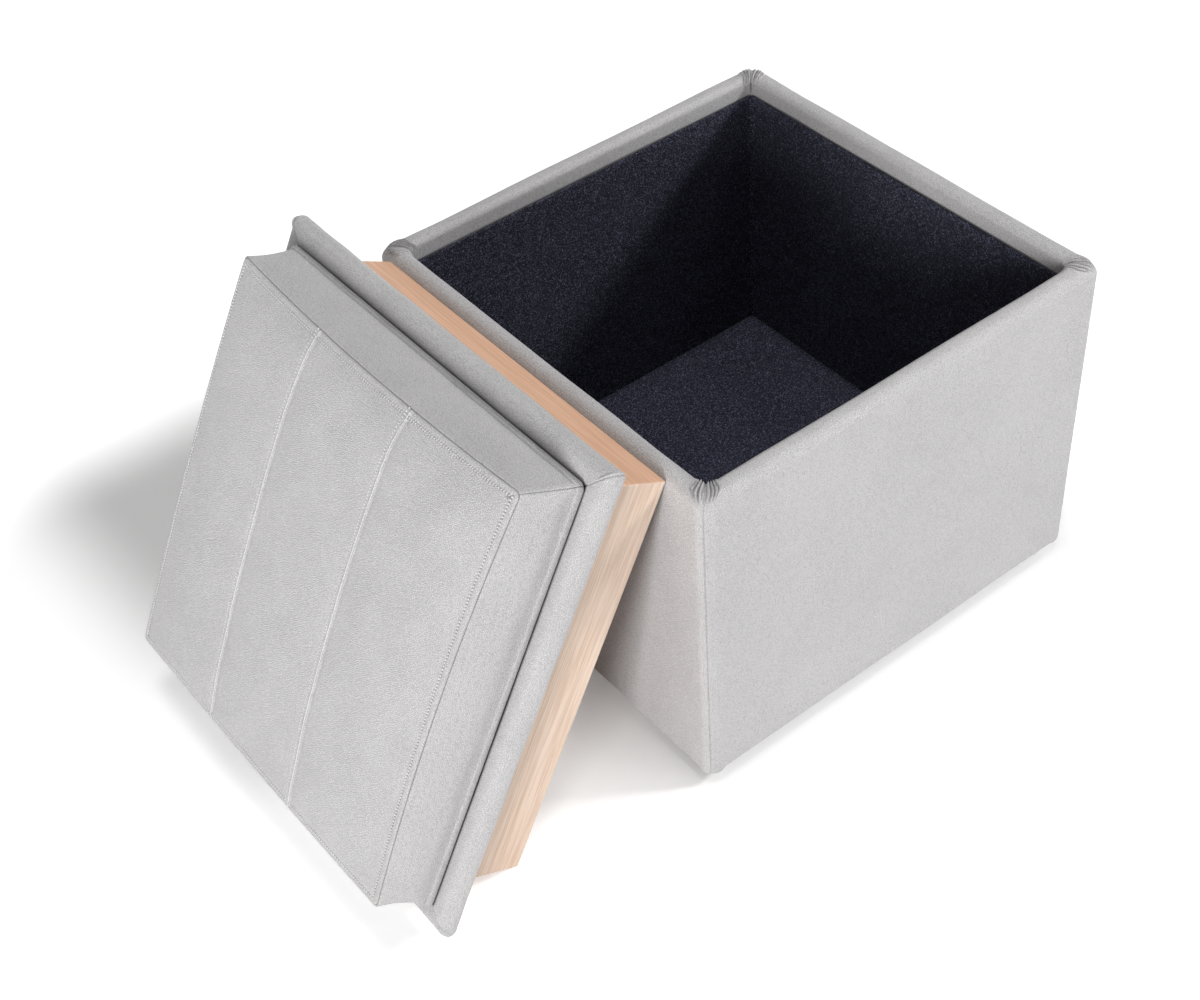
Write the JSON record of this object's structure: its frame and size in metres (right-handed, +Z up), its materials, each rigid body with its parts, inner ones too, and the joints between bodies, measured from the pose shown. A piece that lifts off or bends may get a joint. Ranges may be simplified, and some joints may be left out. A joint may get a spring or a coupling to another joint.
{
  "type": "storage ottoman",
  "caption": "Square leather-covered storage ottoman: felt-lined box on glides, with a lift-off reversible lid that has a crowned cushion above a padded flange and a mitred beech tray below.",
  "frame": {"origin": "on the floor, under the middle of the whole object with its lid leaning on the left side of the box", "axes": "+Z up, +X from the leaning lid towards the box, -Y towards the front"},
  "size_m": [0.8518, 0.507, 0.4568],
  "materials": {
    "grey_leather": "satin",
    "navy_felt": "matte",
    "beech": "satin",
    "plywood": "matte",
    "foam": "matte",
    "dust_cloth": "matte",
    "black_plastic": "matte",
    "steel": "satin"
  },
  "bodies": {
    "box": {"cover_front": "grey_leather", "side_padding_front": "foam", "panel_front": "plywood", "lining_front": "navy_felt", "cover_back": "grey_leather", "side_padding_back": "foam", "panel_back": "plywood", "lining_back": "navy_felt", "cover_left": "grey_leather", "side_padding_left": "foam", "panel_left": "plywood", "lining_left": "navy_felt", "cover_right": "grey_leather", "side_padding_right": "foam", "panel_right": "plywood", "lining_right": "navy_felt", "rim_padding": "foam", "lining_floor": "navy_felt", "floor_board": "plywood", "floor_cleats": "plywood", "corner_blocks": "plywood", "carcass_screws": "steel", "dust_cover": "dust_cloth", "dust_cover_staples": "steel", "glide_front_left": "black_plastic", "glide_front_right": "black_plastic", "glide_back_left": "black_plastic", "glide_back_right": "black_plastic", "glide_screws": "steel"},
    "lid": {"flange_cover_front": "grey_leather", "cushion_band_front": "grey_leather", "tray_rail_front": "beech", "flange_cover_back": "grey_leather", "cushion_band_back": "grey_leather", "tray_rail_back": "beech", "flange_cover_upper": "grey_leather", "cushion_band_upper": "grey_leather", "tray_rail_upper": "beech", "flange_cover_lower": "grey_leather", "cushion_band_lower": "grey_leather", "tray_rail_lower": "beech", "cushion_top_front": "grey_leather", "cushion_top_middle": "grey_leather", "cushion_top_back": "grey_leather", "cushion_foam": "foam", "cushion_board": "plywood", "flange_board": "plywood", "flange_padding_top": "foam", "flange_padding_under": "foam", "tray_panel": "beech", "rail_screws": "steel", "cushion_screws": "steel"}
  },
  "joints": [
    {"name": "lid_lift", "type": "slide", "parent": "box", "child": "lid", "axis": [0, 0, 1], "range_m": [0, 0.42]}
  ]
}
